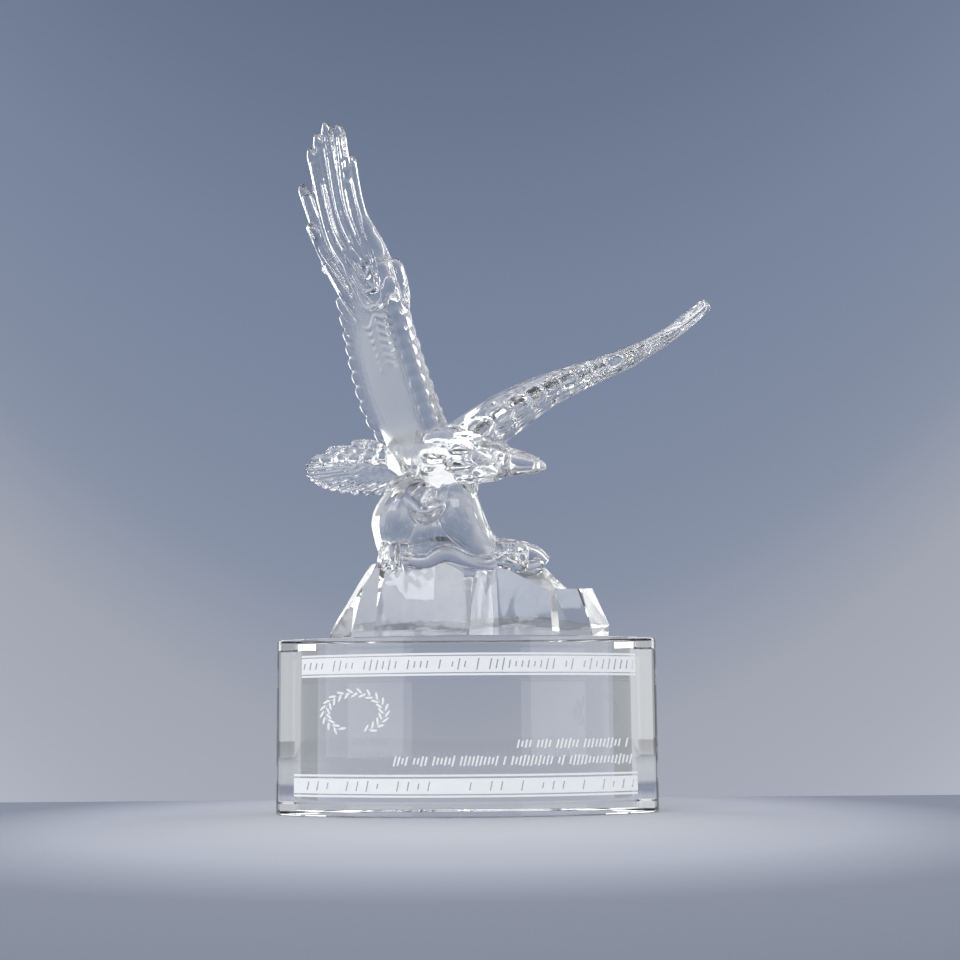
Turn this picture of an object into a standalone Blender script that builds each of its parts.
# Crystal eagle award: an eagle cast in one piece with its rock, standing on an oval crystal block.
# Units are metres, +Z is up, +X is to the right seen from the front, and the front faces -Y.
# The origin is the middle of the block's underside.

import math

import bpy
import bmesh
from mathutils import Vector

# Oval block: two long arcs, front and back, joined by narrow ends that bulge a little.
BLOCK_WIDTH = 0.153
BLOCK_HEIGHT = 0.0685
BLOCK_ARC_RADIUS = 0.113
BLOCK_ARC_STEPS = 40
BLOCK_END_DEPTH = 0.029
BLOCK_END_BULGE = 0.003
BLOCK_END_STEPS = 8
BLOCK_EDGE_BEVEL = 0.0008

# The casting stands on the block with a hair's gap for the clear glue.
GLUE_GAP = 0.0003

# Rock under the bird. Its chunks are drawn in units in which it is 114 wide, 56 deep and 34 high.
ROCK_WIDTH = 0.114
ROCK_DEPTH = 0.056
ROCK_HEIGHT = 0.034
ROCK_DRAWN = (114.0, 56.0, 34.0)

# Bird. Its pose and proportions are drawn in units in which it is 169 high from perch to wing tip.
BIRD_HEIGHT = 0.169
DRAWN_HEIGHT = 169.0

# Facets of the finished casting.
BIRD_TRIANGLES = 8200
FUSE_SIZE = 0.0011
FUSE_SMOOTHING = 3

UNIT = BIRD_HEIGHT / DRAWN_HEIGHT
PERCH = Vector((0.0, 0.0, BLOCK_HEIGHT + GLUE_GAP + ROCK_HEIGHT))


def clear_scene():
    for obj in list(bpy.data.objects):
        bpy.data.objects.remove(obj)


def material(name, colour, roughness):
    made = bpy.data.materials.new(name)
    made.use_nodes = True
    shader = made.node_tree.nodes["Principled BSDF"]
    shader.inputs["Base Color"].default_value = (*colour, 1.0)
    shader.inputs["Roughness"].default_value = roughness
    shader.inputs["Metallic"].default_value = 0.0
    return made


def add_object(name, mesh, finish=None):
    obj = bpy.data.objects.new(name, mesh)
    bpy.context.scene.collection.objects.link(obj)
    if finish:
        mesh.materials.append(finish)
    return obj


def mesh_from(bm, name):
    mesh = bpy.data.meshes.new(name)
    bm.to_mesh(mesh)
    bm.free()
    return mesh


def evaluated_mesh(obj, name):
    bpy.context.view_layer.update()
    graph = bpy.context.evaluated_depsgraph_get()
    return bpy.data.meshes.new_from_object(obj.evaluated_get(graph), preserve_all_data_layers=False)


# Curves and closed forms

def smooth_path(points, count):
    """A Catmull-Rom curve through the points, read at count even steps."""
    ends = [points[0] * 2 - points[1], *points, points[-1] * 2 - points[-2]]
    spans = len(points) - 1
    path = []
    for step in range(count):
        along = spans * step / (count - 1)
        span = min(int(along), spans - 1)
        t = along - span
        a, b, c, d = ends[span:span + 4]
        path.append(0.5 * (2 * b + (c - a) * t + (2 * a - 5 * b + 4 * c - d) * t * t
                           + (3 * b - a - 3 * c + d) * t ** 3))
    return path


def point_on(points, share):
    """The point at a share, from 0 to 1, of the smooth curve through the points."""
    fine = smooth_path(points, 41)
    along = max(0.0, min(1.0, share)) * 40
    low = min(int(along), 39)
    return fine[low].lerp(fine[low + 1], along - low)


def tangents(path):
    return [(path[min(i + 1, len(path) - 1)] - path[max(i - 1, 0)]).normalized() for i in range(len(path))]


def skin(bm, rings):
    """Walls between neighbouring rings of vertices, with both ends closed."""
    rows = [[bm.verts.new(point) for point in ring] for ring in rings]
    sides = len(rows[0])
    for low, high in zip(rows, rows[1:]):
        for i in range(sides):
            j = (i + 1) % sides
            bm.faces.new((low[i], low[j], high[j], high[i]))
    bm.faces.new(list(reversed(rows[0])))
    bm.faces.new(rows[-1])


def oval_ring(centre, side, up, half_width, half_height, sides):
    ring = []
    for i in range(sides):
        angle = 2 * math.pi * i / sides
        ring.append(centre + side * (half_width * math.cos(angle)) + up * (half_height * math.sin(angle)))
    return ring


def limb(bm, points, widths, heights, up=Vector((0, 0, 1)), steps=12, sides=12):
    """A round-ended form along a smooth path; widths and heights are its half sizes at the points."""
    path = smooth_path(points, steps)
    across = smooth_path([Vector((w, h, 0)) for w, h in zip(widths, heights)], steps)
    rings = []
    for centre, along, size in zip(path, tangents(path), across):
        side = along.cross(up).normalized()
        rings.append(oval_ring(centre, side, side.cross(along), size.x, size.y, sides))
    skin(bm, rings)


def stack(bm, levels, sides=24):
    """A form of level ovals, each given as height, left, right, front and back."""
    rings = []
    for height, left, right, front, back in levels:
        centre = drawn((left + right) / 2, (front + back) / 2, height)
        rings.append(oval_ring(centre, Vector((1, 0, 0)), Vector((0, 1, 0)),
                               (right - left) / 2 * UNIT, (back - front) / 2 * UNIT, sides))
    skin(bm, rings)


def knob(bm, centre, radii, steps=10, sides=14):
    """An egg form with its poles along Z."""
    rings = []
    for step in range(1, steps):
        angle = math.pi * step / steps
        level = centre + Vector((0, 0, -radii[2] * math.cos(angle)))
        size = math.sin(angle)
        rings.append(oval_ring(level, Vector((1, 0, 0)), Vector((0, 1, 0)), radii[0] * size, radii[1] * size, sides))
    skin(bm, rings)


def feather(bm, points, face, half_width, half_thickness, root_share=0.75, full_from=0.4, tilt=0.0, steps=10):
    """A vane with a raised shaft: narrow at the root, full width from a share of its length, round at the tip."""
    path = smooth_path(points, steps)
    length = sum((b - a).length for a, b in zip(path, path[1:]))
    round_from = max(0.3, 1 - half_width * 1.1 / length)
    rings = []
    for i, (centre, along) in enumerate(zip(path, tangents(path))):
        t = i / (steps - 1)
        side = along.cross(face).normalized()
        up = side.cross(along)
        side = (side * math.cos(tilt) + up * math.sin(tilt)).normalized()
        up = side.cross(along)
        width = half_width * (root_share + (1 - root_share) * min(1.0, t / full_from))
        if t > round_from:
            closing = (t - round_from) / (1 - round_from)
            width *= math.sqrt(max(0.06, 1 - closing * closing))
        thick = half_thickness * (1.0 - 0.25 * t)
        rings.append(vane_ring(centre, side, up, width, thick))
    skin(bm, rings)


def vane_ring(centre, side, up, width, thick):
    """Cross-section of a vane: blunt edges, full shoulders and a shaft along the middle of each face."""
    profile = ((1.0, 0.25), (0.62, 0.85), (0.2, 0.8), (0.0, 1.12), (-0.2, 0.8), (-0.62, 0.85), (-1.0, 0.25))
    above = [centre + side * (width * x) + up * (thick * z) for x, z in profile]
    below = [centre + side * (width * x) - up * (thick * z) for x, z in reversed(profile)]
    return above + below


# Bird

def drawn(x, y, z):
    """A point of the bird, in drawn units from the perch."""
    return PERCH + Vector((x, y, z)) * UNIT


def drawn_path(*points):
    return [drawn(*point) for point in points]


# Each wing has a leading and a trailing line, drawn from shoulder to tip, the tips of the hand's long
# feathers from the leading line back, and the thickness of its leading edge.
RIGHT_WING = {
    "lead": ((-9, -4, 40), (-14, -9, 56), (-20, -18, 75), (-25, -28, 94), (-30, -37, 113), (-37, -43, 126),
             (-42, -48, 139), (-45, -51, 149)),
    "trail": ((-32, 8, 44), (-42, 5, 60), (-47, 1, 77), (-50, -4, 93), (-53, -16, 110), (-58, -26, 121),
              (-61, -36, 132), (-62, -42, 139)),
    "tips": ((-44.5, -51, 152), (-48.5, -55, 163), (-53.5, -54, 165), (-58.5, -50, 160), (-62.5, -45, 143),
             (-58, -32, 128), (-53.5, -20, 113)),
    "edge_radii": (6.0, 5.0, 4.5, 4.3, 3.5, 2.6, 2.1),
    "vane_thickness": 1.9,
    "back_side": 1,
}
LEFT_WING = {
    "lead": ((-2, 4, 46), (16, 16, 61), (33, 28, 73), (50, 38, 82), (67, 47, 90), (83, 53, 99), (97, 59, 109),
             (107, 64, 118)),
    "trail": ((-12, 30, 42), (6, 42, 59), (25, 55, 74), (44, 65, 84), (61, 71, 92), (77, 72, 99), (90, 73, 107),
              (102, 74, 116)),
    "tips": ((109, 65, 120), (111, 70, 122), (109, 75, 123), (104, 79, 119.5), (97, 80, 113), (88, 80, 106),
             (78, 79, 100)),
    "edge_radii": (10.8, 9.6, 7.4, 5.7, 4.8, 3.7, 3.3),
    "vane_thickness": 2.6,
    "back_side": -1,
}
SECONDARIES = 10
WRIST = 0.55
HAND_SHARES = (0.0, 0.2, 0.4, 0.62, 0.86, 0.93, 0.95)
EDGE_SCALES = 11

# Rows of short feathers over the roots of the long ones: reach across the wing, count, and side of the sheet.
COVERT_ROWS = ((0.62, 9, 1), (0.34, 9, 1), (0.30, 8, -1))


class Wing:
    """The smooth sheet between a wing's leading and trailing lines, on which its feathers lie."""

    def __init__(self, drawing):
        self.lead = drawn_path(*drawing["lead"])
        self.trail = drawn_path(*drawing["trail"])
        self.tips = drawn_path(*drawing["tips"])
        self.edge_radii = [radius * UNIT for radius in drawing["edge_radii"]]
        self.vane_thickness = drawing["vane_thickness"] * UNIT
        self.back_side = drawing["back_side"]

    def at(self, along, back):
        """along runs from shoulder 0 to hand 1, and back from the leading line 0 to the trailing line 1."""
        belly = math.sin(math.pi * min(1.0, max(0.0, back))) * 1.6 * UNIT
        return point_on(self.lead, along).lerp(point_on(self.trail, along), back) + self.face(along) * belly

    def face(self, along):
        """Unit vector out of the wing's back, the side that faces up and inward."""
        along = min(0.97, max(0.03, along))
        span = point_on(self.lead, along + 0.03) - point_on(self.lead, along - 0.03)
        chord = point_on(self.trail, along) - point_on(self.lead, along)
        return span.cross(chord).normalized() * self.back_side


def add_wing(bm, drawing):
    wing = Wing(drawing)
    add_wing_sheet(bm, wing)
    add_leading_edge(bm, wing)
    add_primaries(bm, wing)
    add_secondaries(bm, wing)
    add_coverts(bm, wing)


def add_wing_sheet(bm, wing):
    """The solid web inside the feathers, from the shoulder to the middle of the hand."""
    rings = []
    for step in range(14):
        along = 0.88 * step / 13
        face = wing.face(along)
        thick = (3.0 - 1.6 * along) * UNIT
        above = [wing.at(along, back) + face * thick * (1 - 0.4 * back) for back in (0.05, 0.3, 0.6, 0.86)]
        below = [wing.at(along, back) - face * thick * (1 - 0.4 * back) for back in (0.86, 0.6, 0.3, 0.05)]
        rings.append(above + below)
    skin(bm, rings)


def add_leading_edge(bm, wing):
    """The thick rounded arm, its scales, and the small stiff feather that stands out at the wrist."""
    last = len(wing.edge_radii) - 1
    points = [wing.at(0.92 * i / last, 0.04) for i in range(last + 1)]
    limb(bm, points, wing.edge_radii, wing.edge_radii, up=wing.face(0.4), steps=22)
    for i in range(EDGE_SCALES):
        along = 0.06 + (WRIST - 0.10) * i / (EDGE_SCALES - 1)
        forward = (point_on(wing.lead, along) - wing.at(along, 0.3)).normalized()
        radius = wing.edge_radii[0] * (1 - along) + wing.edge_radii[-1] * along
        root = point_on(wing.lead, along) + forward * radius * 0.35
        tip = point_on(wing.lead, along + 0.06) + forward * radius * 0.85
        feather(bm, [root, root.lerp(tip, 0.6) + forward * 0.4 * UNIT, tip], forward, 2.8 * UNIT, 1.5 * UNIT, steps=8)
    thumb = [wing.at(WRIST - 0.14, 0.06), wing.at(WRIST - 0.06, 0.0), wing.at(WRIST + 0.05, -0.09)]
    feather(bm, thumb, wing.face(WRIST), 3.0 * UNIT, 2.4 * UNIT, steps=10)


def add_primaries(bm, wing):
    """Long feathers of the hand, which sweep back from the wrist and end in separate round tips."""
    for i, (tip, back) in enumerate(zip(wing.tips, HAND_SHARES)):
        start = WRIST + 0.04 - 0.03 * i
        points = [wing.at(start, 0.12), wing.at(start + 0.12, 0.08 + 0.55 * back), wing.at(start + 0.27, back), tip]
        feather(bm, points, wing.face(0.75), 3.3 * UNIT, wing.vane_thickness, tilt=0.25 * wing.back_side, steps=18)


def add_secondaries(bm, wing):
    """Feathers of the forearm, swept towards the hand, whose tips scallop the trailing line."""
    for i in range(SECONDARIES):
        share = (i + 0.5) / SECONDARIES
        root, tip = 0.34 * share, 0.05 + 0.50 * share
        points = [wing.at(root, 0.1), wing.at(root * 0.5 + tip * 0.5, 0.55), wing.at(tip, 1.0)]
        feather(bm, points, wing.face(tip), 3.9 * UNIT, 1.6 * UNIT, tilt=0.16 * wing.back_side, steps=12)


def add_coverts(bm, wing):
    """Short feathers over the roots of the long ones, on both faces of the wing."""
    for reach, count, side in COVERT_ROWS:
        for i in range(count):
            along = 0.08 + 0.52 * (i + 0.5) / count
            raised = wing.face(along) * side * (2.9 - reach * 1.6) * UNIT
            points = [wing.at(along - 0.05, 0.04) + raised * 0.9, wing.at(along + 0.02, reach * 0.55) + raised,
                      wing.at(along + 0.08, reach) + raised * 0.7]
            feather(bm, points, wing.face(along), 3.6 * UNIT, 1.1 * UNIT, tilt=0.14 * wing.back_side, steps=8)


TAIL_ROOT = (-24, 9, 37)
TAIL_FEATHERS = 9
TAIL_UPPER_TIP = (-68.5, 36, 41)
TAIL_MIDDLE_TIP = (-70, 31, 31)
TAIL_LOWER_TIP = (-35, 14, 27)
TAIL_COVERT_TIPS = ((-66.5, 37, 46), (-60, 36, 49), (-49, 30, 51), (-38, 23, 50))


def add_tail(bm):
    """A fan of feathers that opens downwards, under a layer of wide coverts."""
    root = drawn(*TAIL_ROOT)
    upper, middle, lower = (drawn(*tip) for tip in (TAIL_UPPER_TIP, TAIL_MIDDLE_TIP, TAIL_LOWER_TIP))
    face = (upper - root).cross(lower - root).normalized()
    for i in range(TAIL_FEATHERS):
        share = i / (TAIL_FEATHERS - 1)
        weights = ((1 - share) ** 2, 2.1 * share * (1 - share), share ** 2)
        tip = (upper * weights[0] + middle * weights[1] + lower * weights[2]) / sum(weights)
        start = root + Vector((0, 0, -4 * share)) * UNIT
        points = [start, start.lerp(tip, 0.5) + Vector((0, 0, 1.0)) * UNIT, tip]
        feather(bm, points, face, 2.9 * UNIT, 2.5 * UNIT, root_share=0.25, full_from=1.0, steps=14)
    for i, corner in enumerate(TAIL_COVERT_TIPS):
        tip = drawn(*corner)
        start = drawn(-24, 8, 42 + 1.5 * i)
        points = [start, start.lerp(tip, 0.5) + Vector((0, 0, 0.8)) * UNIT, tip]
        feather(bm, points, face, 2.8 * UNIT, 2.2 * UNIT, steps=10)


BREAST_TIPS = ((-30, -10, 24), (-23, -14, 18), (-14, -16, 13), (-5, -16.5, 16), (3, -15, 22))


def add_body(bm):
    """Breast and back in one egg form from the tail's root to the throat, with pointed feathers below."""
    points = drawn_path((-31, 12, 43), (-21, 6, 41), (-11, 0, 37), (-3, -7, 34), (3, -12, 33))
    sizes = [size * UNIT for size in (5.0, 10.5, 13.5, 12.6, 7.0)]
    limb(bm, points, sizes, [size * 1.02 for size in sizes], steps=16, sides=18)
    for x, y, z in BREAST_TIPS:
        points = drawn_path((x * 0.5 - 5, y * 0.6, z * 0.5 + 20), (x * 0.8 - 2, y, z * 0.8 + 8), (x, y, z))
        feather(bm, points, Vector((0.3, -0.9, -0.2)).normalized(), 4.6 * UNIT, 3.2 * UNIT, steps=10)


# Neck, head and beak: points along the middle line with their radii.
HEAD_LINE = ((-9, -6, 40), (1, -12, 38.6), (9, -16, 37.4), (16, -19.5, 36), (23, -22.5, 34.7), (29.2, -25.6, 33.4))
HEAD_RADII = (10.9, 10.5, 8.8, 6.5, 4.8, 3.3)


def add_head(bm):
    """Neck, crown and hooked beak, with brows over the eyes and pointed feathers down the neck."""
    line = drawn_path(*HEAD_LINE)
    sizes = [radius * UNIT for radius in HEAD_RADII]
    limb(bm, line, sizes, sizes, steps=18, sides=14)
    hook = drawn_path((27, -24.6, 33.8), (30.0, -26.0, 32.8), (30.4, -26.3, 30.6))
    limb(bm, hook, [s * UNIT for s in (3.0, 2.4, 1.2)], [s * UNIT for s in (3.0, 2.4, 1.2)], steps=8, sides=8)
    forward = (line[3] - line[2]).normalized()
    across = forward.cross(Vector((0, 0, 1))).normalized()
    upright = across.cross(forward)
    for side in (-1, 1):
        brow = line[2].lerp(line[3], 0.7) + across * side * 5.0 * UNIT + upright * 5.0 * UNIT
        points = [brow - forward * 5 * UNIT, brow + upright * 0.5 * UNIT, brow + (forward * 5 - upright * 0.8) * UNIT]
        limb(bm, points, [s * UNIT for s in (1.0, 1.5, 0.9)], [s * UNIT for s in (0.9, 1.3, 0.8)], steps=8, sides=8)
        eye = line[2].lerp(line[3], 0.75) + across * side * 6.5 * UNIT + upright * 1.6 * UNIT
        knob(bm, eye, (1.5 * UNIT, 1.5 * UNIT, 1.3 * UNIT), steps=6, sides=8)
    for row, (share, radius, count) in enumerate(((0.16, 10.2, 11), (0.36, 8.9, 10))):
        centre = point_on(line, share)
        end = point_on(line, share - 0.13)
        for i in range(count):
            angle = 2 * math.pi * (i + 0.5 * row) / count
            out = across * math.cos(angle) + upright * math.sin(angle)
            root = centre + out * radius * 0.84 * UNIT
            tip = end + out * radius * 1.10 * UNIT
            feather(bm, [root, root.lerp(tip, 0.5) + out * 0.5 * UNIT, tip], out, 2.5 * UNIT, 1.3 * UNIT, steps=8)


# The solid skirt between the legs, down into the rock: height, left, right, front and back of each oval.
SKIRT = ((35, -22, 2, -9, 9), (25, -28, 7, -11, 11), (17, -36, 10, -12, 12), (12, -38, 12, -13, 12),
         (8, -37.5, 14, -14, 13), (2, -35, 18, -17, 15), (-3, -34, 22, -18, 17), (-10, -33, 25, -18, 18))


def add_legs(bm):
    """Feathered thighs on either side of the skirt."""
    stack(bm, SKIRT)
    limb(bm, drawn_path((-20, -3, 28), (-25, -7, 19), (-28, -9, 12), (-28, -11, 4), (-28, -14, -2)),
         [s * UNIT for s in (7, 9, 10, 7, 5)], [s * UNIT for s in (7, 9, 10, 7, 5)], up=Vector((0, -1, 0)), steps=14)
    limb(bm, drawn_path((-4, -4, 28), (-2, -8, 20), (0, -10, 13), (7, -12, 5), (13, -13, -1)),
         [s * UNIT for s in (7, 9, 9, 6, 4.5)], [s * UNIT for s in (7, 8, 8.5, 6, 4.5)], up=Vector((0, -1, 0)), steps=14)


def add_feet(bm):
    """Three toes to a foot, hooked over the rock's front edge, and a hind toe along its top."""
    for ankle_x, front, pitch, lean in ((-27.5, -21.5, 4.2, -0.3), (17.5, -19.5, 4.4, 0.8)):
        for i in (-1, 0, 1):
            x = ankle_x + pitch * i
            toe = drawn_path((ankle_x + 2 * i, front + 8, 2), (x + lean, front + 2.5, 1.2), (x + 1.4 * lean, front, -3.5),
                             (x + 1.5 * lean, front + 0.3, -9 + abs(i)))
            sizes = [s * UNIT for s in (3.0, 2.5, 2.1, 0.8)]
            limb(bm, toe, sizes, sizes, steps=12, sides=8)
    limb(bm, drawn_path((12, -10, 2), (21, -10, 1.5), (28, -8, -0.5), (32, -7, -4)), [s * UNIT for s in (4.5, 4, 3.6, 3)],
         [s * UNIT for s in (4.5, 4, 3.6, 3)], steps=10)


LIP = ((-34, -15, -4), (-24, -19.5, -3.8), (-16, -20, -4.2), (-8, -19, -0.8), (2, -18.5, -4.0), (9, -18.5, -5.2),
       (14, -18, -4.2), (22, -17, -6.6), (30, -12, -5))


def add_lip(bm):
    """The soft rounded edge where the bird's ground turns over the rock's front."""
    radii = [(3.2 + 0.5 * math.cos(2.1 * i)) * UNIT for i in range(len(LIP))]
    limb(bm, drawn_path(*LIP), radii, radii, steps=24, sides=10)


def bird_mesh():
    """All the bird's overlapping forms, fused into one skin and reduced to plain facets."""
    bm = bmesh.new()
    add_body(bm)
    add_head(bm)
    add_legs(bm)
    add_feet(bm)
    add_lip(bm)
    add_tail(bm)
    for drawing in (RIGHT_WING, LEFT_WING):
        add_wing(bm, drawing)
    bmesh.ops.recalc_face_normals(bm, faces=bm.faces)
    shapes = add_object("bird_shapes", mesh_from(bm, "bird_shapes"))
    fuse = shapes.modifiers.new("fuse", "REMESH")
    fuse.mode = "VOXEL"
    fuse.voxel_size = FUSE_SIZE
    polish = shapes.modifiers.new("polish", "SMOOTH")
    polish.factor = 0.5
    polish.iterations = FUSE_SMOOTHING
    fused = evaluated_mesh(shapes, "bird_fused")
    reduce = shapes.modifiers.new("reduce", "DECIMATE")
    reduce.ratio = min(1.0, BIRD_TRIANGLES / (2 * len(fused.polygons)))
    reduced = evaluated_mesh(shapes, "bird_reduced")
    bpy.data.objects.remove(shapes)
    return reduced


# Rock. Each chunk is the flat-faced hull of its corners, drawn from the middle of the rock's foot.
ROCK_CHUNKS = {
    "left": ((-55, -8, 0), (-36, -24, 0), (-13, -28, 0), (0, -25, 0), (0, 24, 0), (-36, 26, 0), (-55, 11, 0),
             (-54, -7, 4), (-39, -5, 30), (-34, -17, 30), (-12, -20, 31), (-1, -18, 31), (0, -23, 10), (0, 16, 31),
             (-30, 17, 31), (-39, 8, 30)),
    "core": ((-30, -16, 0), (30, -16, 0), (33, 21, 0), (-30, 23, 0),
             (-24, -11, 33), (20, -11, 33), (24, 14, 33), (-24, 16, 33)),
    "middle": ((3, -25, 0), (13, -29, 0), (34, -26, 0), (40, -18, 0), (41, 22, 0), (4, 24, 0), (9.5, -16, 30),
               (12, -20, 29), (21, -17, 26.5), (30, -8, 30), (29, 13, 30), (9, 16, 30), (26, -20.5, 19),
               (33, -21, 18), (41, -10, 19), (41, 12, 19)),
    "right": ((28, -23, 0), (50, -21, 0), (57, -8, 0), (57, 9, 0), (50, 22, 0), (28, 22, 0), (57.5, -7, 5),
              (30, -17, 19), (46, -16, 19), (51, -5, 20), (51, 8, 20), (44, 16, 19), (30, 16, 19)),
}


def rock_chunk(name, corners):
    scale = [size / units for size, units in zip((ROCK_WIDTH, ROCK_DEPTH, ROCK_HEIGHT), ROCK_DRAWN)]
    bm = bmesh.new()
    for x, y, z in corners:
        bm.verts.new((x * scale[0], y * scale[1], BLOCK_HEIGHT + GLUE_GAP + z * scale[2]))
    hull = bmesh.ops.convex_hull(bm, input=bm.verts)
    loose = [item for item in hull["geom_interior"] if isinstance(item, bmesh.types.BMVert)]
    bmesh.ops.delete(bm, geom=loose, context="VERTS")
    bmesh.ops.dissolve_limit(bm, angle_limit=math.radians(1.0), verts=bm.verts, edges=bm.edges)
    bmesh.ops.recalc_face_normals(bm, faces=bm.faces)
    chunk = add_object("rock_" + name, mesh_from(bm, "rock_" + name))
    chunk.hide_render = True
    chunk.display_type = "WIRE"
    return chunk


def join(target, others):
    for other in others:
        union = target.modifiers.new("join_" + other.name, "BOOLEAN")
        union.operation = "UNION"
        union.object = other


def add_casting(finish):
    """The bird and its rock, one piece of crystal."""
    casting = add_object("eagle_on_rock", bird_mesh(), finish)
    join(casting, [rock_chunk(name, corners) for name, corners in ROCK_CHUNKS.items()])
    return casting


def block_outline():
    """Plan of the block, anticlockwise: right end, back arc, left end, front arc."""
    corner_x = BLOCK_WIDTH / 2 - BLOCK_END_BULGE
    corner_y = BLOCK_END_DEPTH / 2
    long_angle = math.asin(min(1.0, corner_x / BLOCK_ARC_RADIUS))
    drop = BLOCK_ARC_RADIUS * math.cos(long_angle) - corner_y
    end_radius = (corner_y ** 2 + BLOCK_END_BULGE ** 2) / (2 * BLOCK_END_BULGE)
    end_angle = math.asin(corner_y / end_radius)
    points = []
    for side in (1, -1):
        for step in range(BLOCK_END_STEPS):
            angle = end_angle * (2 * step / BLOCK_END_STEPS - 1)
            x = BLOCK_WIDTH / 2 - end_radius * (1 - math.cos(angle))
            points.append((side * x, side * end_radius * math.sin(angle)))
        for step in range(BLOCK_ARC_STEPS):
            angle = long_angle * (1 - 2 * step / BLOCK_ARC_STEPS)
            y = BLOCK_ARC_RADIUS * math.cos(angle) - drop
            points.append((side * BLOCK_ARC_RADIUS * math.sin(angle), side * y))
    return points


def add_block(finish):
    bm = bmesh.new()
    foot = bm.faces.new([bm.verts.new((x, y, 0.0)) for x, y in block_outline()])
    raised = bmesh.ops.extrude_face_region(bm, geom=[foot])
    top = [item for item in raised["geom"] if isinstance(item, bmesh.types.BMVert)]
    bmesh.ops.translate(bm, verts=top, vec=(0, 0, BLOCK_HEIGHT))
    bmesh.ops.recalc_face_normals(bm, faces=bm.faces)
    block = add_object("crystal_block", mesh_from(bm, "crystal_block"), finish)
    bevel = block.modifiers.new("polished_edges", "BEVEL")
    bevel.width = BLOCK_EDGE_BEVEL
    bevel.segments = 2
    bevel.limit_method = "ANGLE"
    bevel.angle_limit = math.radians(30)
    for face in block.data.polygons:
        face.use_smooth = True
    block.data.set_sharp_from_angle(angle=math.radians(30))
    return block


def build():
    clear_scene()
    add_block(material("block_crystal", (0.93, 0.95, 0.97), 0.03))
    add_casting(material("eagle_crystal", (0.96, 0.97, 0.98), 0.04))


build()
